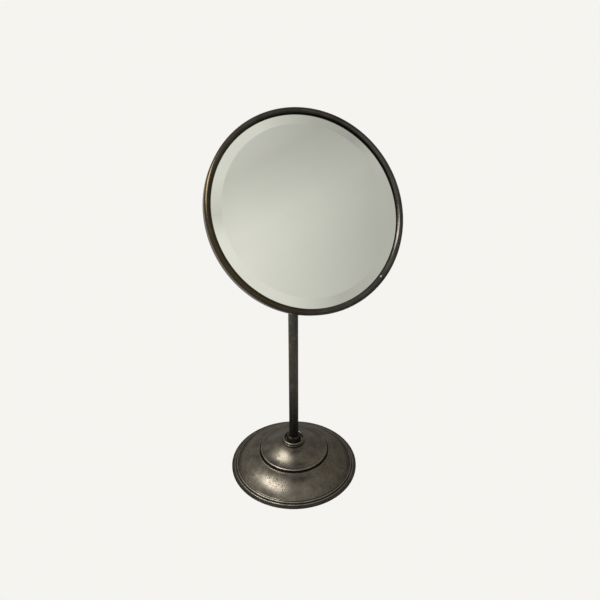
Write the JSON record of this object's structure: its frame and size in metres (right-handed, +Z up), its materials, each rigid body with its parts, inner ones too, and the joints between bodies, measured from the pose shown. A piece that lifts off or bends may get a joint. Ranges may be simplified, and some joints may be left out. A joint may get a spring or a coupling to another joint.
{
  "type": "extendable shaving mirror",
  "caption": "Round bevelled mirror on a ball joint, on a rod that draws out of a tube standing on a weighted round stepped base.",
  "frame": {"origin": "underside of the base felt, on the stem's axis", "axes": "+Z up the stem, -Y the way the mirror faces, +X to the right of someone facing the mirror"},
  "size_m": [0.2, 0.1721, 0.4348],
  "materials": {
    "felt": "thin felt glued under the base",
    "cast_iron": "rough casting",
    "aged_nickel": "plated brass gone dull and dark, lightly pitted",
    "dark_stem": "plated brass, dark grey",
    "blackened_nut": "blackened",
    "steel": "plain turned steel",
    "bronzed_frame": "dark bronze, worn smooth",
    "plain_brass": "bare brass",
    "leather": "pressed leather packing",
    "card": "grey backing board",
    "silvered_glass": "bevelled silvered plate glass"
  },
  "bodies": {
    "stand": {"base_felt": "felt", "base_weight": "cast_iron", "base_skirt": "aged_nickel", "base_dome": "aged_nickel", "neck_ring": "aged_nickel", "lock_nut": "blackened_nut", "tie_washer": "steel", "tie_nut": "steel", "outer_tube": "dark_stem", "mouth_cap": "dark_stem", "packing_washer": "leather"},
    "slider": {"friction_bush": "plain_brass"},
    "arm": {"inner_rod": "dark_stem", "rod_end_screw": "steel", "elbow": "dark_stem", "elbow_pin": "steel", "ball_stud": "steel"},
    "rear_pad": {"ball_pad_rear": "leather"},
    "front_pad": {"ball_pad_front": "leather"},
    "head": {"socket_cup": "dark_stem", "socket_cap": "dark_stem", "socket_screw_1": "steel", "socket_screw_2": "steel", "socket_screw_3": "steel", "plate_rivet_1": "plain_brass", "plate_rivet_2": "plain_brass", "plate_rivet_3": "plain_brass", "plate_rivet_4": "plain_brass", "back_pan": "bronzed_frame", "backing_card": "card", "mirror_glass": "silvered_glass", "bezel": "bronzed_frame", "seam_splice": "plain_brass"}
  },
  "joints": [
    {"name": "stem_slide", "type": "slide", "parent": "stand", "child": "slider", "axis": [0, 0, 1], "range_m": [0, 0.18]},
    {"name": "stem_swivel", "type": "hinge", "parent": "slider", "child": "arm", "pos_m": [0, 0, 0.2], "axis": [0, 0, 1], "continuous": true},
    {"name": "head_tilt", "type": "hinge", "parent": "arm", "child": "rear_pad", "pos_m": [0, -0.0183, 0.337], "axis": [-1, 0, 0], "range_deg": [-45, 22]},
    {"name": "head_turn", "type": "hinge", "parent": "rear_pad", "child": "front_pad", "pos_m": [0, -0.0183, 0.337], "axis": [0, 0.5446, 0.8387], "range_deg": [-15, 15]},
    {"name": "mirror_spin", "type": "hinge", "parent": "front_pad", "child": "head", "pos_m": [0, -0.0183, 0.337], "axis": [0, -0.8387, 0.5446], "continuous": true}
  ]
}
